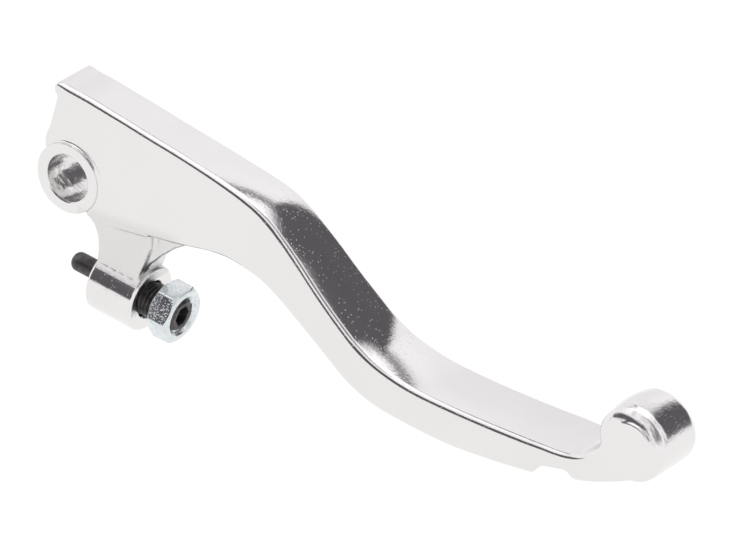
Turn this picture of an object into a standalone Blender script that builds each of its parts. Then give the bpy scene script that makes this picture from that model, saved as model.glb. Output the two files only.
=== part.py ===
"""Motorcycle clutch lever: a forged lever, its threaded reach adjuster and the adjuster's lock nut.

Frame: metres, +Z up. The origin is the centre of the pivot bore, half way through the lever.
+X runs towards the knob end, and the pivot axis is Y. The lever is drawn in the XZ plane.
"""

from math import atan2, cos, hypot, pi, radians, sin, tan

import bmesh
import bpy
from mathutils import Matrix, Vector

MM = 0.001
COLLECTION = "clutch_lever"

# Lever plate: one row for each station along it, in mm. Each row joins a point of the upper outline
# (x, z) to a point of the under outline (x, z), and gives the half width and the edge radius there.
PLATE_STATIONS = [
    ((-3.5, 20.7), (-3.4, 19.5), 5.91, 0.39),
    ((-2.5, 21.6), (-3.0, 18.6), 5.91, 0.78),
    ((0.8, 20.9), (-3.6, 16.4), 5.91, 1.17),
    ((5.2, 20.0), (-5.0, 11.4), 5.91, 1.30),
    ((10.4, 18.7), (-6.5, 6.0), 5.91, 1.30),
    ((15.6, 17.4), (-2.6, -2.6), 5.91, 1.30),
    ((22.1, 15.7), (5.7, -8.2), 5.91, 1.23),
    ((28.6, 14.1), (18.2, -8.3), 5.91, 1.23),
    ((35.8, 12.2), (28.6, -7.9), 5.98, 1.23),
    ((42.3, 10.3), (37.1, -7.0), 6.18, 1.23),
    ((47.5, 8.6), (42.9, -7.0), 6.44, 1.23),
    ((52.0, 6.6), (48.7, -8.3), 6.76, 1.23),
    ((56.6, 3.3), (53.3, -10.0), 7.09, 1.23),
    ((61.8, -1.4), (57.9, -12.8), 7.41, 1.23),
    ((67.6, -7.2), (64.4, -17.4), 7.80, 1.23),
    ((73.5, -12.6), (70.9, -22.3), 8.13, 1.23),
    ((78.7, -16.8), (76.1, -26.1), 8.26, 1.23),
    ((84.5, -19.7), (82.6, -29.0), 8.32, 1.23),
    ((92.3, -21.9), (91.0, -30.8), 8.39, 1.23),
    ((102.7, -23.3), (102.1, -32.3), 8.39, 1.23),
    ((113.1, -24.2), (113.1, -32.5), 8.39, 1.23),
    ((121.6, -24.7), (122.0, -32.2), 8.39, 1.23),
    ((123.9, -24.8), (123.5, -32.0), 8.39, 1.17),
    ((126.1, -24.9), (125.6, -30.0), 8.32, 1.11),
    ((129.4, -25.1), (129.1, -29.4), 8.26, 1.11),
    ((132.0, -25.1), (131.7, -29.3), 8.00, 1.11),
    ((133.5, -24.9), (133.4, -30.6), 7.93, 1.17),
    ((135.4, -24.3), (135.7, -30.5), 7.80, 1.30),
    ((137.8, -22.9), (138.6, -29.9), 7.67, 1.56),
    ((139.9, -20.6), (141.7, -29.1), 7.48, 1.95),
    ((139.8, -17.4), (144.8, -28.1), 7.28, 2.41),
]
STATION_STEPS = 3  # rows of faces from one station to the next
EDGE_STEPS = 3  # faces across each rounded edge

# Knob: the plate goes on round this disc, from the last station to the far end.
KNOB_CENTRE = (147.2, -19.2)
KNOB_RADIUS = 8.0
KNOB_HALF_WIDTH = 7.1
KNOB_EDGE_RADIUS = 2.7
KNOB_UPPER_START = 160.0  # degrees, anticlockwise from +X
KNOB_UNDER_START = 262.0
KNOB_STEPS = 12

# Pivot boss and bore.
BOSS_RADIUS = 8.15
BOSS_HALF_LENGTH = 6.75
BOSS_CHAMFER = 0.3
BORE_RADIUS = 5.5
BORE_CHAMFER = 0.25

# Reach adjuster: its axis lies in the XZ plane, below the pivot.
AXIS_TIP = (-3.7, -22.95)
AXIS_TILT = 9.7  # degrees below +X, going from the nose to the nut
BARREL_START = 8.8  # distances along the axis from the nose tip
BARREL_LENGTH = 12.5
BARREL_RADIUS = 7.6
BARREL_EDGE_RADIUS = 0.9
THREAD_HOLE_RADIUS = 4.25  # the 8 mm thread with its clearance
THREAD_HOLE_CHAMFER = 0.35

# Arm from the root down to the barrel, and the web in the corner behind it.
ARM_HALF_THICKNESS = 4.7
ARM_OUTLINE = [(4.1, -5.2), (4.0, -8.6), (5.4, -10.3), (6.3, -12.8), (6.4, -15.8), (6.0, -19.7),
               (6.4, -24.2), (17.0, -25.5), (17.4, -19.5), (18.8, -16.3), (20.7, -11.7),
               (21.3, -5.2)]
WEB_HALF_THICKNESS = 3.0
WEB_OUTLINE = [(15.6, -5.2), (15.6, -24.1), (16.5, -22.1), (17.7, -19.0), (19.5, -16.3),
               (22.3, -13.7), (25.9, -10.9), (30.7, -8.3), (33.8, -5.2)]
ARM_EDGE_RADIUS = 0.6

# Adjuster screw.
NOSE_RADIUS = 2.2
NOSE_LENGTH = 10.5
NOSE_ROUNDING = 1.65
SCREW_LENGTH = 30.0
SCREW_RADIUS = 3.95
SCREW_CHAMFER = 0.6
SOCKET_ACROSS_FLATS = 4.0
SOCKET_DEPTH = 4.0

# Lock nut.
NUT_START = 24.75
NUT_HEIGHT = 5.4
NUT_ACROSS_FLATS = 11.9
NUT_CHAMFER_ANGLE = 32.0
NUT_FACE_RADIUS = 5.75
NUT_CORNER_RADIUS = 6.72  # the corners are slightly blunt
NUT_BORE_RADIUS = 4.25
NUT_COUNTERSINK = 0.5
NUT_TURN = -2.25  # degrees about the screw's axis

ROUND_STEPS = 48

# name: (base colour, roughness, metallic)
MATERIALS = {
    "polished_aluminium": ((0.86, 0.86, 0.85, 1.0), 0.18, 1.0),
    "black_oxide_steel": ((0.045, 0.042, 0.043, 1.0), 0.42, 0.85),
    "zinc_plated_steel": ((0.66, 0.70, 0.72, 1.0), 0.28, 1.0),
}


def clear_scene():
    for old in list(bpy.data.objects):
        bpy.data.objects.remove(old, do_unlink=True)


def make_collection(name, hidden=False):
    collection = bpy.data.collections.new(name)
    bpy.context.scene.collection.children.link(collection)
    collection.hide_render = hidden
    return collection


def make_material(name):
    colour, roughness, metallic = MATERIALS[name]
    material = bpy.data.materials.new(name)
    material.use_nodes = True
    shader = material.node_tree.nodes["Principled BSDF"]
    shader.inputs["Base Color"].default_value = colour
    shader.inputs["Roughness"].default_value = roughness
    shader.inputs["Metallic"].default_value = metallic
    material.diffuse_color = colour
    return material


def add_object(name, mesh, collection, material=None):
    obj = bpy.data.objects.new(name, mesh)
    collection.objects.link(obj)
    if material:
        mesh.materials.append(material)
    return obj


def as_helper(obj):
    obj.hide_render = True
    obj.display_type = "WIRE"
    return obj


def shade_round(mesh, sharp_degrees=35.0):
    mesh.shade_smooth()
    mesh.set_sharp_from_angle(angle=radians(sharp_degrees))


def axis_frame(distance):
    """Places a shape drawn along its own +Z on the adjuster's axis, with +Z towards the nut."""
    tilt = radians(AXIS_TILT)
    direction = Vector((cos(tilt), 0.0, -sin(tilt)))
    start = Vector((AXIS_TIP[0] * MM, 0.0, AXIS_TIP[1] * MM))
    turn = Matrix.Rotation(pi / 2 + tilt, 4, "Y")
    return Matrix.Translation(start + direction * distance * MM) @ turn


def catmull_rom(rows, steps):
    """A smooth run through rows of numbers, with the given number of steps between two rows."""
    run = []
    last = len(rows) - 1
    for i in range(last):
        before, start, end, after = (rows[max(0, min(last, i + k))] for k in (-1, 0, 1, 2))
        for step in range(steps):
            t = step / steps
            run.append([
                0.5 * (2 * b + (c - a) * t + (2 * a - 5 * b + 4 * c - d) * t ** 2
                       + (3 * b - a - 3 * c + d) * t ** 3)
                for a, b, c, d in zip(before, start, end, after)
            ])
    run.append(list(rows[last]))
    return run


def plate_stations():
    """Every station of the plate as (upper x, upper z, under x, under z, half width, edge radius)."""
    rows = [(*upper, *under, width, edge) for upper, under, width, edge in PLATE_STATIONS]
    width_before, edge_before = rows[-1][4:]
    for step in range(1, KNOB_STEPS + 1):
        t = step / (KNOB_STEPS + 1)
        upper = radians(KNOB_UPPER_START * (1 - t))
        under = radians(KNOB_UNDER_START + (360.0 - KNOB_UNDER_START) * t)
        ease = min(1.0, 3 * t)
        rows.append((
            KNOB_CENTRE[0] + KNOB_RADIUS * cos(upper), KNOB_CENTRE[1] + KNOB_RADIUS * sin(upper),
            KNOB_CENTRE[0] + KNOB_RADIUS * cos(under), KNOB_CENTRE[1] + KNOB_RADIUS * sin(under),
            width_before + (KNOB_HALF_WIDTH - width_before) * ease,
            edge_before + (KNOB_EDGE_RADIUS - edge_before) * ease,
        ))
    smooth = catmull_rom(rows[:len(PLATE_STATIONS) + 2], STATION_STEPS)
    return smooth + rows[len(PLATE_STATIONS) + 2:]


def plate_outline(stations):
    """The closed outline as (x, z, half width, edge radius), round the end of the knob and back."""
    upper = [(s[0], s[1], s[4], s[5]) for s in stations]
    under = [(s[2], s[3], s[4], s[5]) for s in stations]
    end = (KNOB_CENTRE[0] + KNOB_RADIUS, KNOB_CENTRE[1], KNOB_HALF_WIDTH, KNOB_EDGE_RADIUS)
    return upper + [end] + under[::-1]


def inward_normals(outline):
    """Unit normals pointing into an outline that runs clockwise, seen from -Y."""
    normals = []
    count = len(outline)
    for i in range(count):
        before = outline[i - 1]
        after = outline[(i + 1) % count]
        dx = after[0] - before[0]
        dz = after[1] - before[1]
        length = hypot(dx, dz)
        normals.append((dz / length, -dx / length))
    return normals


def plate_mesh():
    """The plate: layers of its outline from one face to the other, closed by strips between stations."""
    stations = plate_stations()
    outline = plate_outline(stations)
    normals = inward_normals(outline)
    angles = [pi / 2 * k / EDGE_STEPS for k in range(EDGE_STEPS + 1)]
    layers = [(-1, a) for a in reversed(angles)] + [(1, a) for a in angles]
    shape = bmesh.new()
    loops = []
    for side, angle in layers:
        loop = []
        for (x, z, width, edge), (nx, nz) in zip(outline, normals):
            inset = edge * (1 - cos(angle))
            y = side * (width - edge * (1 - sin(angle)))
            loop.append(shape.verts.new(Vector((x + nx * inset, y, z + nz * inset)) * MM))
        loops.append(loop)
    count = len(outline)
    for near, far in zip(loops, loops[1:]):
        for i in range(count):
            j = (i + 1) % count
            shape.faces.new((near[i], far[i], far[j], near[j]))
    for loop, flip in ((loops[0], False), (loops[-1], True)):
        for i in range(len(stations)):
            ring = [loop[i], loop[i + 1], loop[count - 2 - i], loop[count - 1 - i]]
            if ring[1] is ring[2]:
                ring.pop(2)
            shape.faces.new(ring[::-1] if flip else ring)
    bmesh.ops.recalc_face_normals(shape, faces=shape.faces)
    mesh = bpy.data.meshes.new("lever")
    shape.to_mesh(mesh)
    shape.free()
    return mesh


def turned(name, profile, collection, steps=ROUND_STEPS):
    """A solid turned about its own Z from (radius, height) points in mm, listed top to bottom."""
    mesh = bpy.data.meshes.new(name)
    mesh.from_pydata([(r * MM, 0.0, h * MM) for r, h in profile],
                     [(i, i + 1) for i in range(len(profile) - 1)], [])
    obj = add_object(name, mesh, collection)
    screw = obj.modifiers.new("Turn", "SCREW")
    screw.steps = steps
    screw.render_steps = steps
    screw.use_merge_vertices = True
    screw.merge_threshold = 0.00001
    return obj


def extruded(name, outline, half_thickness, collection, edge_radius):
    """A flat plate with rounded edges, drawn in the XZ plane and centred on it."""
    curve = bpy.data.curves.new(name, "CURVE")
    curve.dimensions = "2D"
    curve.fill_mode = "BOTH"
    curve.extrude = half_thickness * MM
    spline = curve.splines.new("POLY")
    spline.points.add(len(outline) - 1)
    for point, (x, z) in zip(spline.points, outline):
        point.co = (x * MM, z * MM, 0.0, 1.0)
    spline.use_cyclic_u = True
    drawn = bpy.data.objects.new(name + "_curve", curve)
    collection.objects.link(drawn)
    drawn.matrix_world = Matrix.Rotation(pi / 2, 4, "X")
    bpy.context.view_layer.update()
    graph = bpy.context.evaluated_depsgraph_get()
    mesh = bpy.data.meshes.new_from_object(drawn.evaluated_get(graph))
    shape = bmesh.new()
    shape.from_mesh(mesh)
    bmesh.ops.remove_doubles(shape, verts=shape.verts, dist=0.000001)
    bmesh.ops.recalc_face_normals(shape, faces=shape.faces)
    shape.to_mesh(mesh)
    shape.free()
    obj = add_object(name, mesh, collection)
    obj.matrix_world = drawn.matrix_world
    bpy.data.objects.remove(drawn)
    bevel = obj.modifiers.new("Edges", "BEVEL")
    bevel.width = edge_radius * MM
    bevel.segments = 2
    bevel.limit_method = "ANGLE"
    bevel.angle_limit = radians(60)
    return obj


def rounded_barrel_profile(radius, length, edge, steps=3):
    """Half section of a cylinder with rounded edges, top to bottom."""
    angles = [pi / 2 * k / steps for k in range(steps + 1)]
    top = [(radius - edge * (1 - sin(a)), length - edge * (1 - cos(a))) for a in angles]
    bottom = [(r, length - h) for r, h in reversed(top)]
    return [(0.0, length)] + top + bottom + [(0.0, 0.0)]


def bore_profile(radius, chamfer, length, past=1.0):
    """Half section of a cutter for a through hole that is chamfered at both faces."""
    wide = radius + chamfer + past
    return [(0.0, length + past), (wide, length + past), (radius, length - chamfer),
            (radius, chamfer), (wide, -past), (0.0, -past)]


def boolean(obj, operation, other):
    modifier = obj.modifiers.new(operation.title() + " " + other.name, "BOOLEAN")
    modifier.operation = operation
    modifier.solver = "EXACT"
    modifier.object = other


def make_lever(parts, cutters, material):
    lever = add_object("lever", plate_mesh(), parts, material)

    boss = as_helper(turned("pivot_boss", rounded_barrel_profile(
        BOSS_RADIUS, 2 * BOSS_HALF_LENGTH, BOSS_CHAMFER, steps=1), cutters))
    boss.matrix_world = (Matrix.Translation((0.0, BOSS_HALF_LENGTH * MM, 0.0))
                         @ Matrix.Rotation(pi / 2, 4, "X"))
    boolean(lever, "UNION", boss)

    web = as_helper(extruded("arm_web", WEB_OUTLINE, WEB_HALF_THICKNESS, cutters, ARM_EDGE_RADIUS))
    boolean(lever, "UNION", web)
    arm = as_helper(extruded("arm", ARM_OUTLINE, ARM_HALF_THICKNESS, cutters, ARM_EDGE_RADIUS))
    boolean(lever, "UNION", arm)

    barrel = as_helper(turned("barrel", rounded_barrel_profile(
        BARREL_RADIUS, BARREL_LENGTH, BARREL_EDGE_RADIUS), cutters))
    barrel.matrix_world = axis_frame(BARREL_START)
    boolean(lever, "UNION", barrel)

    pivot_bore = as_helper(turned("pivot_bore", bore_profile(
        BORE_RADIUS, BORE_CHAMFER, 2 * BOSS_HALF_LENGTH), cutters))
    pivot_bore.matrix_world = boss.matrix_world
    boolean(lever, "DIFFERENCE", pivot_bore)

    thread_hole = as_helper(turned("thread_hole", bore_profile(
        THREAD_HOLE_RADIUS, THREAD_HOLE_CHAMFER, BARREL_LENGTH), cutters))
    thread_hole.matrix_world = barrel.matrix_world
    boolean(lever, "DIFFERENCE", thread_hole)

    shade_round(lever.data)
    return lever


def hex_prism(name, across_flats, low, high, collection, turn=0.0):
    """A six-sided prism along its own Z."""
    shape = bmesh.new()
    bmesh.ops.create_cone(shape, cap_ends=True, segments=6, radius1=across_flats * MM / 3 ** 0.5,
                          radius2=across_flats * MM / 3 ** 0.5, depth=(high - low) * MM,
                          matrix=Matrix.Translation((0, 0, (low + high) / 2 * MM))
                          @ Matrix.Rotation(radians(turn), 4, "Z"))
    mesh = bpy.data.meshes.new(name)
    shape.to_mesh(mesh)
    shape.free()
    return add_object(name, mesh, collection)


def make_screw(parts, cutters, material):
    round_steps = 4
    nose = []
    for k in range(round_steps + 1):
        angle = pi / 2 * k / round_steps
        nose.append((NOSE_RADIUS - NOSE_ROUNDING * (1 - cos(angle)), NOSE_ROUNDING * (1 - sin(angle))))
    shoulder = SCREW_RADIUS - NOSE_RADIUS
    profile = [
        (0.0, SCREW_LENGTH),
        (SCREW_RADIUS - SCREW_CHAMFER, SCREW_LENGTH),
        (SCREW_RADIUS, SCREW_LENGTH - SCREW_CHAMFER),
        (SCREW_RADIUS, NOSE_LENGTH + shoulder),
        (NOSE_RADIUS, NOSE_LENGTH),
        *nose,
        (0.0, 0.0),
    ]
    screw = turned("adjuster_screw", profile, parts)
    screw.data.materials.append(material)
    screw.matrix_world = axis_frame(0.0)
    socket = as_helper(hex_prism("hex_socket", SOCKET_ACROSS_FLATS, SCREW_LENGTH - SOCKET_DEPTH,
                                 SCREW_LENGTH + 1.0, cutters, NUT_TURN))
    socket.matrix_world = axis_frame(0.0)
    boolean(screw, "DIFFERENCE", socket)
    shade_round(screw.data)
    return screw


def make_nut(parts, cutters, material):
    nut = hex_prism("lock_nut", NUT_ACROSS_FLATS, 0.0, NUT_HEIGHT, parts, NUT_TURN)
    nut.data.materials.append(material)
    nut.matrix_world = axis_frame(NUT_START)

    drop = (NUT_CORNER_RADIUS - NUT_FACE_RADIUS) * tan(radians(NUT_CHAMFER_ANGLE))
    crown = as_helper(turned("nut_crown", [
        (0.0, NUT_HEIGHT), (NUT_FACE_RADIUS, NUT_HEIGHT), (NUT_CORNER_RADIUS, NUT_HEIGHT - drop),
        (NUT_CORNER_RADIUS, drop), (NUT_FACE_RADIUS, 0.0), (0.0, 0.0)], cutters, steps=72))
    crown.matrix_world = nut.matrix_world
    boolean(nut, "INTERSECT", crown)

    hole = as_helper(turned("nut_bore", bore_profile(
        NUT_BORE_RADIUS, NUT_COUNTERSINK, NUT_HEIGHT), cutters))
    hole.matrix_world = nut.matrix_world
    boolean(nut, "DIFFERENCE", hole)
    shade_round(nut.data)
    return nut


def main():
    clear_scene()
    parts = make_collection(COLLECTION)
    cutters = make_collection(COLLECTION + "_cutters", hidden=True)
    make_lever(parts, cutters, make_material("polished_aluminium"))
    make_screw(parts, cutters, make_material("black_oxide_steel"))
    make_nut(parts, cutters, make_material("zinc_plated_steel"))


main()
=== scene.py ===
from math import cos, pi, radians, sin, tan

import bpy
import numpy as np
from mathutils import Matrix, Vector


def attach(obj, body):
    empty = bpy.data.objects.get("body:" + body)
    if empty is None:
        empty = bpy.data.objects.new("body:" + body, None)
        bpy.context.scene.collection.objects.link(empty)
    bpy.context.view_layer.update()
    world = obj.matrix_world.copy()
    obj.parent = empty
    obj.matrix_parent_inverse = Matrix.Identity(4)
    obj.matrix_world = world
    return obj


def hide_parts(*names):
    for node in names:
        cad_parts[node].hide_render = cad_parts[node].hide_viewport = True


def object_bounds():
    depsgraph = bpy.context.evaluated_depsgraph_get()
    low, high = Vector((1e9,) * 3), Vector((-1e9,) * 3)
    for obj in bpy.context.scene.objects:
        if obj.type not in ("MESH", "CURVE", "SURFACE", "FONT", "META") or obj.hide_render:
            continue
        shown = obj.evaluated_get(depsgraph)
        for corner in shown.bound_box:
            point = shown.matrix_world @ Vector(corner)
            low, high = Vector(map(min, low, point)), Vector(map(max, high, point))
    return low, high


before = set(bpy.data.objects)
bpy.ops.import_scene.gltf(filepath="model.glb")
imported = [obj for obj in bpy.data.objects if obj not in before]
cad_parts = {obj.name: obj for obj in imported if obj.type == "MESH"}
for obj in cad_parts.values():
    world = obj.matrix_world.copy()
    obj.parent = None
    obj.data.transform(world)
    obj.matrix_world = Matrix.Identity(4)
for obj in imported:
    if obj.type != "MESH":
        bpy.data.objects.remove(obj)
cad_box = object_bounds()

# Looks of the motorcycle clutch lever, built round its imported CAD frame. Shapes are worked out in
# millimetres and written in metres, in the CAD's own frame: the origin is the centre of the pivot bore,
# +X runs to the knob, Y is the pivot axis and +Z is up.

MM = 0.001

# Lever plate: ((upper x, z), (under x, z), half width, edge radius) at each station.
STATIONS = [
    ((-3.8, 20.6), (-3.8, 19.3), 5.91, 0.39), ((-2.8, 21.58), (-3.2, 18.3), 5.91, 0.78),
    ((0.8, 20.9), (-3.6, 16.4), 5.91, 1.17), ((5.2, 20.0), (-5.0, 11.4), 5.91, 1.30),
    ((10.4, 18.7), (-6.5, 6.0), 5.91, 1.30), ((15.6, 17.4), (-2.6, -2.6), 5.91, 1.30),
    ((22.1, 15.7), (5.7, -8.2), 5.91, 1.23), ((28.6, 14.1), (18.2, -8.3), 5.91, 1.23),
    ((35.8, 12.2), (28.6, -7.9), 5.98, 1.23), ((42.3, 10.3), (37.1, -7.0), 6.18, 1.23),
    ((47.5, 8.6), (42.9, -7.0), 6.44, 1.23), ((52.0, 6.6), (48.7, -8.3), 6.76, 1.23),
    ((56.6, 3.3), (53.3, -10.0), 7.09, 1.23), ((61.8, -1.4), (57.9, -12.8), 7.41, 1.23),
    ((67.6, -7.2), (64.4, -17.4), 7.80, 1.23), ((73.5, -12.6), (70.9, -22.3), 8.13, 1.23),
    ((78.7, -16.8), (76.1, -26.1), 8.26, 1.23), ((84.5, -19.7), (82.6, -29.0), 8.32, 1.23),
    ((92.3, -21.9), (91.0, -30.8), 8.39, 1.23), ((102.7, -23.3), (102.1, -32.3), 8.39, 1.23),
    ((113.1, -24.2), (113.1, -32.5), 8.39, 1.23), ((121.6, -24.7), (122.0, -32.2), 8.39, 1.23),
    ((123.9, -24.8), (123.5, -32.0), 8.39, 1.17), ((126.1, -24.9), (125.6, -30.0), 8.32, 1.11),
    ((129.4, -25.1), (129.1, -29.4), 8.26, 1.11), ((132.0, -25.1), (131.7, -29.3), 8.00, 1.11),
    ((133.5, -24.9), (133.4, -30.6), 7.93, 1.17), ((135.4, -24.3), (135.7, -30.5), 7.80, 1.30),
    ((137.8, -22.9), (138.6, -29.9), 7.67, 1.30), ((139.9, -20.6), (141.7, -29.1), 7.48, 1.30),
    ((139.8, -17.4), (144.8, -28.1), 7.28, 1.40),
]
KNOB_CENTRE = (147.2, -19.2)
KNOB_START = 139.0
KNOB_RADIUS = 8.0
KNOB_HALF_WIDTH = 7.1
KNOB_EDGE_RADIUS = 1.6  # at the underside
KNOB_SHOULDER = 2.2  # added to it towards the top
KNOB_DISC_RADIUS = 5.9  # the low round pad on each end
KNOB_DISC_HEIGHT = 0.14
KNOB_DISC_EDGE = 0.5
KNOB_DISC_FILLET = 0.2
KNOB_UPPER_START = 160.0
KNOB_UNDER_START = 262.0
LONGEST = 155.15
CROWN = [  # how far the upper side swells in its middle, at each place along x
    (34.0, 0.0), (56.0, 0.85), (80.0, 0.85), (96.0, 0.45), (126.0, 0.35),
    (138.0, 0.1), (141.5, 1.3), (145.0, 0.9), (149.0, 0.5), (152.0, 0.0),
]
RIPPLE_DEPTH = 0.03
RIPPLE_TURN = 4.4  # radians for each mm

BOSS_RADIUS = 8.13
BOSS_HALF_LENGTH = 6.75
BOSS_EDGE = 0.25
BOSS_FILLET = 0.6
BORE_RADIUS = 5.5
BORE_CHAMFER = 0.3

AXIS_TIP = (-3.7, -22.95)
AXIS_TILT = radians(9.7)
AXIS = np.array((cos(AXIS_TILT), 0.0, -sin(AXIS_TILT)))
ACROSS = np.array((sin(AXIS_TILT), 0.0, cos(AXIS_TILT)))  # square to the axis, upwards
BARREL_START = 8.8
BARREL_LENGTH = 12.5
BARREL_RADIUS = 7.6
BARREL_EDGE = 0.9
BARREL_FILLET = 0.12
HOLE_RADIUS = 4.25
HOLE_CHAMFER = 0.35

ARM_HALF = 4.7
ARM_EDGE = 0.9
ARM_FILLET = 1.1
ARM_FLARE = 2.8
ARM = [(4.1, -5.2), (4.0, -8.6), (5.4, -10.3), (6.3, -12.8), (6.4, -15.8), (6.0, -19.7),
       (6.4, -24.2), (17.0, -25.5), (17.4, -19.5), (18.8, -16.3), (20.7, -11.7), (21.3, -5.2)]
WEB_HALF = 3.0
WEB_EDGE = 0.8
WEB_FILLET = 0.8
WEB = [(15.6, -5.2), (15.6, -24.1), (16.5, -22.1), (17.7, -19.0), (19.5, -16.3),
       (22.3, -13.7), (25.9, -10.9), (30.7, -8.3), (33.8, -5.2)]

NOSE_RADIUS = 2.2
NOSE_LENGTH = 10.5
NOSE_ROUNDING = 1.65
SCREW_LENGTH = 30.0
SOCKET_FLATS = 4.0
SOCKET_DEPTH = 4.0
THREAD_PITCH = 1.0
SCREW_MAJOR = 3.95
SCREW_MINOR = 3.36
SCREW_END_RADIUS = 3.1
SCREW_END_SLOPE = 0.85
NUT_START = 24.75
NUT_HEIGHT = 5.4
NUT_FLATS = 11.9
NUT_CORNER = 6.72
NUT_FACE = 5.75
NUT_CHAMFER = radians(32.0)
NUT_TURN = -2.25
NUT_MINOR = 3.46
NUT_MAJOR = 4.03
NUT_SINK = 4.7
NUT_EDGE = 0.11
THREAD_RINGS = 18  # for each turn


# Each opening: bearing from, softness, bearing to, softness, height from, softness, height to, softness,
# and darkness, where a negative darkness is a brighter panel.
DARK_OPENINGS = [
    (-48.0, 3.0, 16.0, 3.0, 6.0, 1.5, 41.0, 2.0, 0.88),
    (122.0, 9.0, 172.0, 1.5, -8.0, 1.5, 54.5, 4.0, 0.88),
    (44.0, 4.0, 84.0, 5.0, 20.0, 3.0, 58.0, 3.0, 0.75),
    (168.0, 3.0, 212.0, 6.0, 50.0, 1.5, 55.2, 1.0, 0.80),
    (158.0, 3.0, 198.0, 3.0, 56.4, 0.8, 63.0, 2.0, -0.20),
    (218.0, 3.0, 248.0, 3.0, 46.0, 1.5, 58.0, 2.0, 0.80),
    (-12.0, 4.0, 95.0, 6.0, 59.0, 2.0, 73.0, 2.0, 0.60),
    (190.0, 14.0, 250.0, 14.0, 0.0, 8.0, 37.0, 6.0, 0.07),
    (-91.0, 0.1, 271.0, 0.1, 62.0, 6.0, 100.0, 1.0, -0.22),
]
STUDIO_STRENGTH = 1.10

CAMERA_TURN = radians(36.44)
CAMERA_LIFT = radians(26.54)
CAMERA_LENS = 393.4
CAMERA_AIM = (0.0571, 0.0240, -0.0184)
CAMERA_DISTANCE = 1.716
FLOOR_HALF = 6.0
FLOOR_DROP = 0.16  # below the lever's lowest point


def catmull_rom(rows, steps):
    """A smooth run through rows of numbers."""
    rows = np.array(rows, float)
    padded = np.vstack([rows[:1], rows, rows[-1:]])
    run = []
    for a, b, c, d in zip(padded, padded[1:], padded[2:], padded[3:]):
        for step in range(steps):
            t = step / steps
            run.append(0.5 * (2 * b + (c - a) * t + (2 * a - 5 * b + 4 * c - d) * t ** 2
                              + (3 * b - a - 3 * c + d) * t ** 3))
    run.append(rows[-1])
    return np.array(run)


def plate_rows():
    """Stations of the plate and of the knob, as (upper x, z, under x, z, half width, edge radius)."""
    rows = [(*upper, *under, width, edge) for upper, under, width, edge in STATIONS]
    width, edge = rows[-1][4:]
    for step in range(1, 13):
        t = step / 13
        upper = radians(KNOB_UPPER_START * (1 - t))
        under = radians(KNOB_UNDER_START + (360.0 - KNOB_UNDER_START) * t)
        ease = min(1.0, 3 * t)
        rows.append((KNOB_CENTRE[0] + KNOB_RADIUS * cos(upper), KNOB_CENTRE[1] + KNOB_RADIUS * sin(upper),
                     KNOB_CENTRE[0] + KNOB_RADIUS * cos(under), KNOB_CENTRE[1] + KNOB_RADIUS * sin(under),
                     width + (KNOB_HALF_WIDTH - width) * ease, edge + (KNOB_EDGE_RADIUS - edge) * ease))
    end = (KNOB_CENTRE[0] + KNOB_RADIUS, KNOB_CENTRE[1])
    rows.append((*end, *end, KNOB_HALF_WIDTH, KNOB_EDGE_RADIUS))
    return rows


class Field:
    """Signed distance to a closed outline, sampled on a fine grid in the XZ plane and slightly blurred."""

    STEP = 0.2

    def __init__(self, outline, blur):
        outline = np.array(outline, float)
        low = outline.min(0) - 4.0
        high = outline.max(0) + 4.0
        self.low = low
        self.shape = np.ceil((high - low) / self.STEP).astype(int) + 1
        xs = low[0] + self.STEP * np.arange(self.shape[0])
        zs = low[1] + self.STEP * np.arange(self.shape[1])
        X, Z = np.meshgrid(xs, zs, indexing="ij")
        nearest = np.full(X.shape, 1e9)
        inside = np.zeros(X.shape, bool)
        for (ax, az), (bx, bz) in zip(outline, np.roll(outline, -1, 0)):
            ex, ez = bx - ax, bz - az
            length = ex * ex + ez * ez
            if length < 1e-12:
                continue
            t = np.clip(((X - ax) * ex + (Z - az) * ez) / length, 0, 1)
            nearest = np.minimum(nearest, (X - ax - t * ex) ** 2 + (Z - az - t * ez) ** 2)
            crosses = (az > Z) != (bz > Z)
            if ez:
                inside ^= crosses & (X < ax + (Z - az) * ex / ez)
        field = np.sqrt(nearest) * np.where(inside, -1, 1)
        reach = int(3 * blur / self.STEP) + 1
        kernel = np.exp(-0.5 * (np.arange(-reach, reach + 1) * self.STEP / blur) ** 2)
        kernel /= kernel.sum()
        for axis in (0, 1):
            pads = [(reach, reach) if k == axis else (0, 0) for k in (0, 1)]
            padded = np.pad(field, pads, "edge")
            field = sum(w * np.take(padded, np.arange(field.shape[axis]) + k, axis)
                        for k, w in enumerate(kernel))
        self.field = field

    def at(self, X, Z):
        u = (X - self.low[0]) / self.STEP
        v = (Z - self.low[1]) / self.STEP
        cu = np.clip(u, 0, self.shape[0] - 1.001)
        cv = np.clip(v, 0, self.shape[1] - 1.001)
        i, j = cu.astype(int), cv.astype(int)
        fu, fv = cu - i, cv - j
        f = self.field
        value = ((f[i, j] * (1 - fu) + f[i + 1, j] * fu) * (1 - fv)
                 + (f[i, j + 1] * (1 - fu) + f[i + 1, j + 1] * fu) * fv)
        return value + np.hypot(u - cu, v - cv) * self.STEP


def both(a, b, radius):
    """Inside both shapes, with the edge between them rounded."""
    a, b = a + radius, b + radius
    return np.hypot(np.maximum(a, 0), np.maximum(b, 0)) + np.minimum(np.maximum(a, b), 0) - radius


def either(a, b, radius):
    """Inside either shape, with a round fillet in the corner between them."""
    return (np.maximum(radius, np.minimum(a, b))
            - np.hypot(np.maximum(radius - a, 0), np.maximum(radius - b, 0)))


def smooth_run(xs, ys, at, blur):
    """Values at the given places along x, with the corners of the run blurred away."""
    near = np.arange(-3, 3.01, 0.5)
    weights = np.exp(-0.5 * near ** 2)
    return sum(w * np.interp(at + k * blur, xs, ys) for k, w in zip(near, weights)) / weights.sum()


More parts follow.
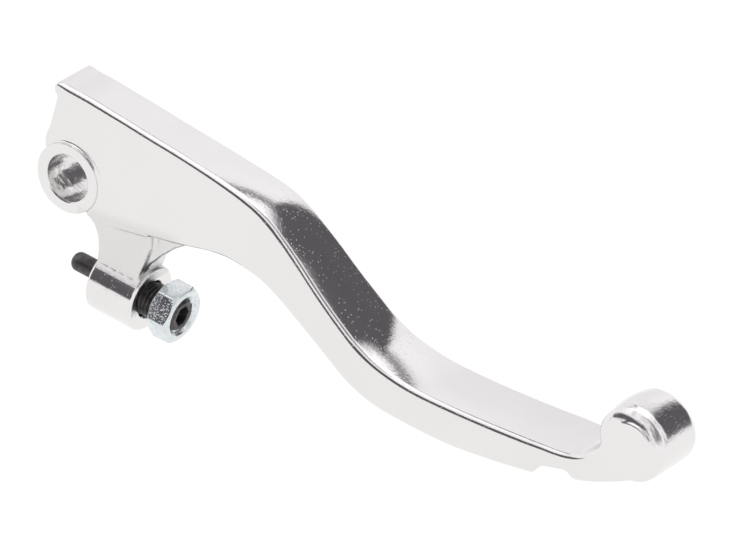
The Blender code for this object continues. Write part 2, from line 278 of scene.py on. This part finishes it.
class Lever:
    """The forged lever as one signed distance, in mm."""

    def __init__(self):
        rows = plate_rows()
        count = len(STATIONS) + 2
        run = np.vstack([catmull_rom(rows[:count], 8)[:-1], catmull_rom(rows[count - 1:], 4)])
        outline = np.vstack([run[:, 0:2], run[-2::-1, 2:4]])
        self.plate = Field(outline, 0.35)
        self.arm = Field(ARM, 0.5)
        self.web = Field(WEB, 0.5)
        self.xs = np.arange(-12.0, 160.0, 0.5)
        middle = (run[:, 0] + run[:, 2]) / 2
        order = np.argsort(middle)
        self.width = smooth_run(middle[order], run[order, 4], self.xs, 1.2) - 0.02
        self.edge = smooth_run(middle[order], run[order, 5], self.xs, 0.8)
        body = run[:8 * len(STATIONS) - 24]
        self.mid_z = (np.interp(self.xs, body[:, 0], body[:, 1])
                      + np.interp(self.xs, body[:, 2], body[:, 3])) / 2
        self.crown = smooth_run(*zip(*CROWN), self.xs, 2.0)

    def __call__(self, X, Y, Z):
        side = np.abs(Y)
        width = np.interp(X, self.xs, self.width)
        edge = np.interp(X, self.xs, self.edge)
        shoulder = KNOB_SHOULDER * np.clip(0.7 - Y / 10, 0.4, 1)
        edge = edge + shoulder * np.clip((X - 143.0) / 5, 0, 1) * np.clip((Z + 22) / 7, 0, 1)
        upper = np.clip((Z - np.interp(X, self.xs, self.mid_z)) / 2.0, 0, 1)
        crown = np.interp(X, self.xs, self.crown) * upper * np.clip(1 - (Y / width) ** 2, 0, 1)
        # shallow hand-polishing ripples round the knob's near shoulder
        near_end = np.clip((X - 140.0) / 3.0, 0, 1) * np.clip((-Y - 2.5) / 1.5, 0, 1)
        ripple = near_end * RIPPLE_DEPTH * np.cos(RIPPLE_TURN * side)
        body = both(self.plate.at(X, Z) - crown + ripple, side - width, edge)

        disc = np.hypot(X - KNOB_CENTRE[0], Z - KNOB_CENTRE[1]) - KNOB_DISC_RADIUS
        body = either(body, both(disc, side - KNOB_HALF_WIDTH - KNOB_DISC_HEIGHT, KNOB_DISC_EDGE),
                      KNOB_DISC_FILLET)

        round_pivot = np.hypot(X, Z)
        boss = both(round_pivot - BOSS_RADIUS, side - BOSS_HALF_LENGTH, BOSS_EDGE)
        body = either(body, boss, BOSS_FILLET)

        arm_side = self.arm.at(X, Z)
        arm = both(arm_side, side - ARM_HALF, ARM_EDGE)
        web = both(self.web.at(X, Z), side - WEB_HALF, WEB_EDGE)
        body = either(body, either(arm, web, WEB_FILLET), ARM_FILLET)

        # the arm flares into the root by a round fillet under the root's edge
        under = 1 - np.clip(self.plate.at(X, Z) / ARM_FLARE, 0, 1)
        flare = (STATIONS[5][2] - 0.2 - ARM_HALF) * (1 - np.sqrt(1 - under ** 2))
        body = np.minimum(body, both(arm_side, side - ARM_HALF - flare, ARM_EDGE))
        body = np.maximum(body, X - LONGEST)

        dx, dz = X - AXIS_TIP[0], Z - AXIS_TIP[1]
        along = dx * AXIS[0] + dz * AXIS[2] - BARREL_START
        round_axis = np.hypot(dx * ACROSS[0] + dz * ACROSS[2], Y)
        from_middle = np.abs(along - BARREL_LENGTH / 2) - BARREL_LENGTH / 2
        barrel = both(round_axis - BARREL_RADIUS, from_middle, BARREL_EDGE)
        body = either(body, barrel, BARREL_FILLET)

        bore = np.minimum(round_pivot - BORE_RADIUS,
                          (round_pivot - BORE_RADIUS - BORE_CHAMFER - side + BOSS_HALF_LENGTH) / 2 ** 0.5)
        hole = np.minimum(round_axis - HOLE_RADIUS,
                          (round_axis - HOLE_RADIUS - HOLE_CHAMFER - from_middle) / 2 ** 0.5)
        hole = np.maximum(hole, from_middle - 1.0)
        return np.maximum(body, -np.minimum(bore, hole))


def slopes(shape, P, step):
    """Unit outward normals of a signed distance."""
    columns = []
    for axis in range(3):
        ahead, back = P.copy(), P.copy()
        ahead[:, axis] += step
        back[:, axis] -= step
        columns.append(shape(*ahead.T) - shape(*back.T))
    normals = np.stack(columns, 1)
    return normals / np.maximum(np.linalg.norm(normals, axis=1, keepdims=True), 1e-12)


def stepped(*spans):
    """Grid lines over spans of (start, end, step)."""
    lines = []
    for start, end, step in spans:
        lines += list(np.linspace(start, end, int(round((end - start) / step)) + 1)[:-1])
    return np.array(lines + [spans[-1][1]])


def contoured(name, shape, lines):
    """A mesh of the zero surface by dual contouring, so creases and chamfers stay crisp."""
    sizes = [len(line) for line in lines]
    grid = np.empty(sizes, np.float32)
    Y, Z = np.meshgrid(lines[1], lines[2], indexing="ij")
    for i, x in enumerate(lines[0]):
        grid[i] = shape(np.full(Y.shape, x), Y, Z)
    solid = grid < 0
    cells = [size - 1 for size in sizes]
    strides = np.array([cells[1] * cells[2], cells[2], 1])
    spots, normals, owners, quads = [], [], [], []
    for axis in range(3):
        first = [slice(None)] * 3
        second = [slice(None)] * 3
        first[axis] = slice(None, -1)
        second[axis] = slice(1, None)
        start = np.argwhere(solid[tuple(first)] != solid[tuple(second)])
        end = start.copy()
        end[:, axis] += 1
        a = grid[tuple(start.T)].astype(float)
        b = grid[tuple(end.T)].astype(float)
        P = np.stack([lines[k][start[:, k]] for k in range(3)], 1)
        low = lines[axis][start[:, axis]]
        high = lines[axis][end[:, axis]]
        for _ in range(3):
            spot = low + (high - low) * a / (a - b)
            P[:, axis] = spot
            value = shape(*P.T)
            same = (value < 0) == (a < 0)
            low, a = np.where(same, spot, low), np.where(same, value, a)
            high, b = np.where(same, high, spot), np.where(same, b, value)
        P[:, axis] = low + (high - low) * np.clip(a / np.where(a == b, 1, a - b), 0, 1)
        u, v = (axis + 1) % 3, (axis + 2) % 3
        around = []
        for du, dv in ((0, 0), (-1, 0), (-1, -1), (0, -1)):
            cell = start.copy()
            cell[:, u] += du
            cell[:, v] += dv
            around.append(cell @ strides)
        quad = np.stack(around, 1)
        flip = ~solid[tuple(start.T)]
        quad[flip] = quad[flip][:, ::-1]
        quads.append(quad)
        N = slopes(shape, P, 0.04)
        for owner in around:
            spots.append(P)
            normals.append(N)
            owners.append(owner)
    spots, normals, owners = np.vstack(spots), np.vstack(normals), np.concatenate(owners)
    used, index = np.unique(owners, return_inverse=True)
    count = len(used)
    share = np.bincount(index, minlength=count)
    mean = np.stack([np.bincount(index, spots[:, k], count) for k in range(3)], 1) / share[:, None]
    offset = ((spots - mean[index]) * normals).sum(1)
    left = np.empty((count, 3, 3))
    for j in range(3):
        for k in range(3):
            left[:, j, k] = np.bincount(index, normals[:, j] * normals[:, k], count)
    right = np.stack([np.bincount(index, normals[:, k] * offset, count) for k in range(3)], 1)
    left += np.eye(3) * 0.08
    move = np.linalg.solve(left, right[..., None])[..., 0]
    place = np.stack([used // strides[0], used // strides[1] % cells[1], used % cells[2]], 1)
    lowest = np.stack([lines[k][place[:, k]] for k in range(3)], 1)
    highest = np.stack([lines[k][place[:, k] + 1] for k in range(3)], 1)
    verts = np.clip(mean + move, lowest, highest)
    faces = np.searchsorted(used, np.vstack(quads))
    return shaded(name, shape, verts, faces)


def shaded(name, shape, verts, faces):
    """A mesh whose corners take their normals from the shape itself, one for each side of a crease."""
    mesh = bpy.data.meshes.new(name)
    mesh.from_pydata((verts * MM).tolist(), [], faces.tolist())
    mesh.shade_smooth()
    smooth = slopes(shape, verts, 0.05)
    corners = verts[faces]
    centre = corners.mean(1, keepdims=True)
    cross = np.cross(corners[:, 2] - corners[:, 0], corners[:, 3] - corners[:, 1])
    cross /= np.maximum(np.linalg.norm(cross, axis=1, keepdims=True), 1e-12)
    agree = (smooth[faces] * cross[:, None]).sum(2)
    creased = np.zeros(len(verts), bool)
    creased[faces[agree < cos(radians(24))]] = True
    normals = smooth[faces]
    sharp = creased[faces]
    inner = (corners * 0.35 + centre * 0.65)[sharp]
    normals[sharp] = slopes(shape, inner, 0.03)
    mesh.normals_split_custom_set(normals.reshape(-1, 3).tolist())
    return mesh


def thread_height(along, turn):
    """Height of a thread, 0 in its root and 1 on its crest."""
    phase = np.mod(along / THREAD_PITCH - turn / (2 * pi), 1.0)
    return np.clip((np.abs(2 * phase - 1) - 0.14) / 0.68, 0, 1)


def hexagon(turn, flats, corner=99.0):
    """Distance to the side of a hexagon in each direction, with its corners cut back to a radius."""
    from_flat = np.mod(turn - radians(NUT_TURN) + pi / 6, pi / 3) - pi / 6
    return np.minimum(flats / 2 / np.cos(from_flat), corner)


def ring_stack(name, rings, around, closed=False, sharp=30.0):
    """A skin through rings of (radius, distance along the adjuster's axis), each a number or an array."""
    turn = 2 * pi * np.arange(around) / around
    verts = []
    for radius, along in rings:
        radius = np.broadcast_to(radius, turn.shape)[:, None]
        along = np.broadcast_to(along, turn.shape)[:, None]
        up = np.cos(turn)[:, None] * ACROSS + np.sin(turn)[:, None] * np.array((0.0, 1.0, 0.0))
        verts.append(np.array((AXIS_TIP[0], 0.0, AXIS_TIP[1])) + AXIS * along + up * radius)
    verts = np.vstack(verts) * MM
    faces = []
    count = len(rings)
    for i in range(count if closed else count - 1):
        j = (i + 1) % count
        for k in range(around):
            m = (k + 1) % around
            faces.append((i * around + k, i * around + m, j * around + m, j * around + k))
    if not closed:
        verts = np.vstack([verts, verts[:around].mean(0), verts[-around:].mean(0)])
        top = count * around
        for k in range(around):
            m = (k + 1) % around
            faces.append((top, m, k))
            faces.append((top + 1, (count - 1) * around + k, (count - 1) * around + m))
    mesh = bpy.data.meshes.new(name)
    mesh.from_pydata(verts.tolist(), [], faces)
    mesh.shade_smooth()
    mesh.set_sharp_from_angle(angle=radians(sharp))
    return mesh


def screw_mesh():
    """The set screw: rounded nose, threaded shank, end chamfer and hexagon socket."""
    around = 96
    turn = 2 * pi * np.arange(around) / around
    rings = []
    for k in range(1, 9):
        angle = pi / 2 * k / 8
        rings.append((NOSE_RADIUS - NOSE_ROUNDING * (1 - sin(angle)), NOSE_ROUNDING * (1 - cos(angle))))
    rings += [(NOSE_RADIUS, NOSE_LENGTH * share) for share in (0.35, 0.6, 0.8, 0.985)]
    rings.append((NOSE_RADIUS + 0.15, NOSE_LENGTH))
    start = NOSE_LENGTH + 0.15
    end = SCREW_LENGTH
    for along in np.arange(start, end, THREAD_PITCH / THREAD_RINGS):
        cone = min(NOSE_RADIUS + 0.3 + (along - start), SCREW_END_RADIUS + (end - along) * SCREW_END_SLOPE)
        thread = SCREW_MINOR + (SCREW_MAJOR - SCREW_MINOR) * thread_height(along, turn)
        rings.append((np.minimum(thread, cone), along))
    mouth = hexagon(turn, SOCKET_FLATS)
    rings += [(3.05, end), (2.95, end), (mouth * 1.10, end), (mouth * 1.09, end - 0.02),
              (mouth, end - 0.22), (mouth, end - SOCKET_DEPTH), (0.6, end - SOCKET_DEPTH - 0.8)]
    return ring_stack("adjuster_screw_look", rings, around, sharp=38.0)


def nut_mesh():
    """The lock nut: two chamfered faces and a threaded, countersunk bore."""
    around = 144
    turn = 2 * pi * np.arange(around) / around
    side = hexagon(turn, NUT_FLATS, NUT_CORNER)
    drop = (side - NUT_FACE) * tan(NUT_CHAMFER)
    edge = NUT_EDGE
    rings = []
    for end, sign in ((NUT_START, 1), (NUT_START + NUT_HEIGHT, -1)):
        face = [(NUT_SINK, end), (NUT_FACE - edge, end),
                (NUT_FACE + edge * 0.15, end + sign * edge * 0.2),
                (NUT_FACE + edge * 0.9, end + sign * (edge * 0.9 * tan(NUT_CHAMFER))),
                (side - edge, end + sign * (drop - edge * tan(NUT_CHAMFER))),
                (side - edge * 0.25, end + sign * (drop + edge * 0.1)),
                (side, end + sign * (drop + edge))]
        rings += face if sign > 0 else face[::-1]
    stop = NUT_START + NUT_HEIGHT
    for along in np.arange(stop - 0.08, NUT_START + 0.08, -THREAD_PITCH / THREAD_RINGS):
        sink = NUT_SINK - min(stop - along, along - NUT_START) * 1.2
        thread = NUT_MINOR + (NUT_MAJOR - NUT_MINOR) * thread_height(along, turn)
        rings.append((np.maximum(thread, sink), along))
    return ring_stack("lock_nut_look", rings, around, closed=True, sharp=24.0)


class Nodes:
    """Short ways to add and join shader nodes."""

    def __init__(self, name, world=False):
        self.owner = bpy.data.worlds.new(name) if world else bpy.data.materials.new(name)
        self.owner.use_nodes = True
        self.tree = self.owner.node_tree
        self.tree.nodes.clear()

    def add(self, kind, inputs=None, **settings):
        node = self.tree.nodes.new(kind)
        for key, value in settings.items():
            setattr(node, key, value)
        for key, value in (inputs or {}).items():
            if isinstance(value, bpy.types.NodeSocket):
                self.tree.links.new(value, node.inputs[key])
            else:
                node.inputs[key].default_value = value
        return node

    def math(self, operation, *values):
        node = self.add("ShaderNodeMath", operation=operation)
        for k, value in enumerate(values):
            if isinstance(value, bpy.types.NodeSocket):
                self.tree.links.new(value, node.inputs[k])
            else:
                node.inputs[k].default_value = value
        return node.outputs[0]

    def between(self, value, low, high, to_low=0.0, to_high=1.0, smooth=True):
        node = self.add("ShaderNodeMapRange", {"Value": value, "From Min": low, "From Max": high,
                                               "To Min": to_low, "To Max": to_high})
        node.interpolation_type = "SMOOTHSTEP" if smooth else "LINEAR"
        return node.outputs[0]

    def noise(self, scale, detail=3.0, roughness=0.55):
        node = self.add("ShaderNodeTexNoise", {"Vector": self.place, "Scale": scale, "Detail": detail,
                                               "Roughness": roughness})
        return node.outputs[0]

    def spots(self, scale):
        """Distance from the nearest spot, and a number that picks among the spots."""
        node = self.add("ShaderNodeTexVoronoi", {"Vector": self.place, "Scale": scale})
        choice = self.add("ShaderNodeSeparateColor", {"Color": node.outputs["Color"]}).outputs[0]
        return node.outputs["Distance"], choice

    def parts(self):
        return self.add("ShaderNodeSeparateXYZ", {"Vector": self.place}).outputs

    def length(self, across, up):
        square = self.math("ADD", self.math("POWER", self.math("ABSOLUTE", across), 2.0),
                           self.math("POWER", self.math("ABSOLUTE", up), 2.0))
        return self.math("SQRT", square)

    def near_pivot(self, inner, outer):
        """1 on the wall of the pivot bore and 0 outside it."""
        parts = self.parts()
        return self.between(self.length(parts["X"], parts["Z"]), inner, outer, 1.0, 0.0)

    def towards_knob(self, low, high):
        """0 on the blade and 1 on the knob."""
        return self.between(self.parts()["X"], low, high)

    def off_barrel(self):
        """1 on the arm, which is left as it was cast, and 0 on the turned barrel and the polished root."""
        parts = self.parts()
        x = self.math("SUBTRACT", parts["X"], AXIS_TIP[0] * MM)
        z = self.math("SUBTRACT", parts["Z"], AXIS_TIP[1] * MM)
        rise = self.math("ADD", self.math("MULTIPLY", x, ACROSS[0]), self.math("MULTIPLY", z, ACROSS[2]))
        away = self.between(self.length(rise, parts["Y"]), (BARREL_RADIUS + 0.05) * MM,
                            (BARREL_RADIUS + 0.4) * MM)
        away = self.math("MAXIMUM", away,
                         self.between(rise, 0.0047, 0.0050))
        lower = self.between(parts["Z"], -0.0075, -0.0045, 1.0, 0.0)
        along = self.math("MULTIPLY", self.between(parts["X"], 0.0025, 0.0035),
                          self.between(parts["X"], 0.026, 0.032, 1.0, 0.0))
        return self.math("MULTIPLY", self.math("MULTIPLY", away, lower), along)

    def colour_between(self, factor, first, second):
        node = self.add("ShaderNodeMix", data_type="RGBA")
        self.tree.links.new(factor, node.inputs[0])
        node.inputs[6].default_value = (*first, 1.0)
        node.inputs[7].default_value = (*second, 1.0)
        return node.outputs[2]

    def shade(self, colour, amount):
        node = self.add("ShaderNodeMix", data_type="RGBA")
        self.tree.links.new(amount, node.inputs[0])
        self.tree.links.new(colour, node.inputs[6])
        node.inputs[7].default_value = (0.0, 0.0, 0.0, 1.0)
        return node.outputs[2]

    def metal(self, colour, roughness, bump_height, bump_strength, bump_distance, metallic=1.0):
        bump = self.add("ShaderNodeBump", {"Height": bump_height, "Strength": bump_strength,
                                           "Distance": bump_distance})
        shader = self.add("ShaderNodeBsdfPrincipled", {"Base Color": colour, "Roughness": roughness,
                                                       "Metallic": metallic, "Normal": bump.outputs[0]})
        output = self.add("ShaderNodeOutputMaterial", {"Surface": shader.outputs[0]})
        output.target = "ALL"
        return self.owner


def start_metal(name):
    """A material with its place on the object, in metres, ready for textures."""
    nodes = Nodes(name)
    nodes.place = nodes.add("ShaderNodeTexCoord").outputs["Object"]
    return nodes


def polished_aluminium():
    n = start_metal("polished_aluminium_look")
    broad = n.noise(38.0, 2.0)
    grain = n.noise(1250.0, 4.0, 0.65)
    distance, choice = n.spots(1900.0)
    pit = n.math("MULTIPLY", n.between(distance, 0.05, 0.30, 1.0, 0.0), n.between(choice, 0.66, 0.70))
    bore = n.near_pivot((BORE_RADIUS - 0.2) * MM, (BORE_RADIUS + 0.3) * MM)
    knob = n.towards_knob(KNOB_START * MM, (KNOB_START + 4.0) * MM)
    cast = n.off_barrel()
    marks = n.math("ADD", 0.42, n.math("MULTIPLY", cast, 1.2))
    marks = n.math("ADD", marks, n.math("MULTIPLY", knob, 1.2))
    height = n.math("ADD", n.math("MULTIPLY", grain, marks), n.math("MULTIPLY", pit, -0.5))
    height = n.math("ADD", height, n.math("MULTIPLY", broad, 0.8))
    height = n.math("ADD", height, n.math("MULTIPLY", n.noise(420.0, 2.0), n.math("MULTIPLY", bore, 8.0)))
    colour = n.colour_between(n.between(broad, 0.3, 0.7), (0.765, 0.753, 0.740), (0.775, 0.768, 0.760))
    colour = n.shade(colour, n.math("MULTIPLY", cast, 0.10))
    roughness = n.between(n.noise(160.0, 4.0), 0.3, 0.75, 0.06, 0.13, smooth=False)
    roughness = n.math("ADD", roughness, n.math("ADD", n.math("MULTIPLY", bore, 0.19),
                                                n.math("MULTIPLY", cast, 0.17)))
    return n.metal(colour, roughness, height, 0.55, 0.00009)


def black_oxide():
    n = start_metal("black_oxide_look")
    wear = n.noise(420.0, 6.0, 0.7)
    colour = n.colour_between(n.between(wear, 0.42, 0.68), (0.062, 0.057, 0.059), (0.15, 0.142, 0.143))
    roughness = n.between(wear, 0.3, 0.7, 0.34, 0.52, smooth=False)
    return n.metal(colour, roughness, n.noise(2200.0, 3.0), 0.35, 0.00005, metallic=0.75)


def bright_zinc():
    n = start_metal("bright_zinc_look")
    broad = n.noise(240.0, 3.0)
    distance, choice = n.spots(3000.0)
    crystal = n.math("MULTIPLY", n.between(distance, 0.05, 0.45, 1.0, 0.0), n.between(choice, 0.25, 0.85))
    height = n.math("ADD", n.math("MULTIPLY", crystal, 1.5), n.math("MULTIPLY", n.noise(1500.0, 3.0), 0.6))
    colour = n.colour_between(n.between(broad, 0.3, 0.7), (0.66, 0.705, 0.72), (0.75, 0.785, 0.79))
    roughness = n.between(broad, 0.3, 0.7, 0.15, 0.24, smooth=False)
    return n.metal(colour, roughness, height, 0.7, 0.00012)


def studio():
    """A white studio with dark openings. Bearings are in degrees from the front, and heights from level."""
    n = Nodes("studio", world=True)
    way = n.add("ShaderNodeSeparateXYZ",
                {"Vector": n.add("ShaderNodeTexCoord").outputs["Generated"]}).outputs
    back = n.math("MULTIPLY", way["Y"], -1.0)
    bearing = n.math("MULTIPLY", n.math("ARCTAN2", way["X"], back), 180 / pi)
    bearing = n.math("SUBTRACT", n.math("MODULO", n.math("ADD", bearing, 450.0), 360.0), 90.0)
    height = n.math("MULTIPLY", n.math("ARCSINE", way["Z"]), 180 / pi)
    light = None
    for west, west_soft, east, east_soft, low, low_soft, high, high_soft, dark in DARK_OPENINGS:
        edges = (n.between(bearing, west - west_soft, west + west_soft),
                 n.between(bearing, east - east_soft, east + east_soft, 1.0, 0.0),
                 n.between(height, low - low_soft, low + low_soft),
                 n.between(height, high - high_soft, high + high_soft, 1.0, 0.0))
        inside = edges[0]
        for edge in edges[1:]:
            inside = n.math("MULTIPLY", inside, edge)
        part = n.math("SUBTRACT", 1.0, n.math("MULTIPLY", inside, dark))
        light = part if light is None else n.math("MULTIPLY", light, part)
    path = n.add("ShaderNodeLightPath").outputs
    plain = n.math("MAXIMUM", path["Is Camera Ray"], path["Is Diffuse Ray"])
    light = n.math("MAXIMUM", light, plain)
    n.place = n.add("ShaderNodeTexCoord").outputs["Generated"]
    cloud = n.between(n.noise(2.2, 3.0), 0.35, 0.65, 0.95, 1.03)
    light = n.math("MULTIPLY", light, n.math("MAXIMUM", cloud, plain))
    whiteness = n.math("MAXIMUM", n.math("MULTIPLY", light, 0.85), plain)
    tint = n.colour_between(whiteness, (0.96, 0.90, 1.0), (1.0, 0.998, 1.0))
    backdrop = n.add("ShaderNodeBackground", {"Color": tint,
                                              "Strength": n.math("MULTIPLY", light, STUDIO_STRENGTH)})
    n.add("ShaderNodeOutputWorld", {"Surface": backdrop.outputs[0]})
    bpy.context.scene.world = n.owner


def add_piece(name, mesh, body, node, material):
    mesh.materials.clear()
    mesh.materials.append(material)
    piece = bpy.data.objects.new(name, mesh)
    bpy.context.scene.collection.objects.link(piece)
    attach(piece, body)
    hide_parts(node)
    return piece


def floor():
    n = Nodes("pale_floor")
    n.place = n.add("ShaderNodeTexCoord").outputs["Object"]
    colour = n.colour_between(n.noise(3.0), (0.93, 0.93, 0.93), (0.95, 0.95, 0.95))
    shader = n.add("ShaderNodeBsdfPrincipled", {"Base Color": colour, "Roughness": 1.0,
                                                "Specular IOR Level": 0.0})
    n.add("ShaderNodeOutputMaterial", {"Surface": shader.outputs[0]})
    half = FLOOR_HALF
    low = cad_box[0].z - FLOOR_DROP
    mesh = bpy.data.meshes.new("floor")
    mesh.from_pydata([(-half, -half, low), (half, -half, low), (half, half, low), (-half, half, low)],
                     [], [(0, 1, 2, 3)])
    mesh.materials.append(n.owner)
    plane = bpy.data.objects.new("floor", mesh)
    bpy.context.scene.collection.objects.link(plane)


def camera():
    level = cos(CAMERA_LIFT)
    back = Vector((sin(CAMERA_TURN) * level, -cos(CAMERA_TURN) * level, sin(CAMERA_LIFT)))
    data = bpy.data.cameras.new("camera")
    data.sensor_width = 36.0
    data.lens = CAMERA_LENS
    data.clip_start, data.clip_end = 0.05, 50.0
    obj = bpy.data.objects.new("camera", data)
    bpy.context.scene.collection.objects.link(obj)
    obj.location = Vector(CAMERA_AIM) + back * CAMERA_DISTANCE
    obj.rotation_mode = "QUATERNION"
    obj.rotation_quaternion = (-back).to_track_quat("-Z", "Y")
    bpy.context.scene.camera = obj


camera()
studio()
floor()
bpy.context.scene.view_settings.view_transform = "Standard"

STEP = 0.4
FINE = 0.22
lever_lines = [
    stepped((-10.0, 9.2, FINE), (9.2, 157.0, STEP)),
    stepped((-9.2, -5.0, FINE), (-5.0, 5.0, STEP), (5.0, 9.2, FINE)),
    stepped((-36.5, -9.0, STEP), (-9.0, 9.0, FINE), (9.0, 23.0, STEP)),
]
add_piece("lever_forging", contoured("lever_look", Lever(), lever_lines), "lever_body", "lever",
          polished_aluminium())
add_piece("set_screw", screw_mesh(), "screw_body", "adjuster_screw", black_oxide())
add_piece("thin_nut", nut_mesh(), "nut_body", "lock_nut", bright_zinc())
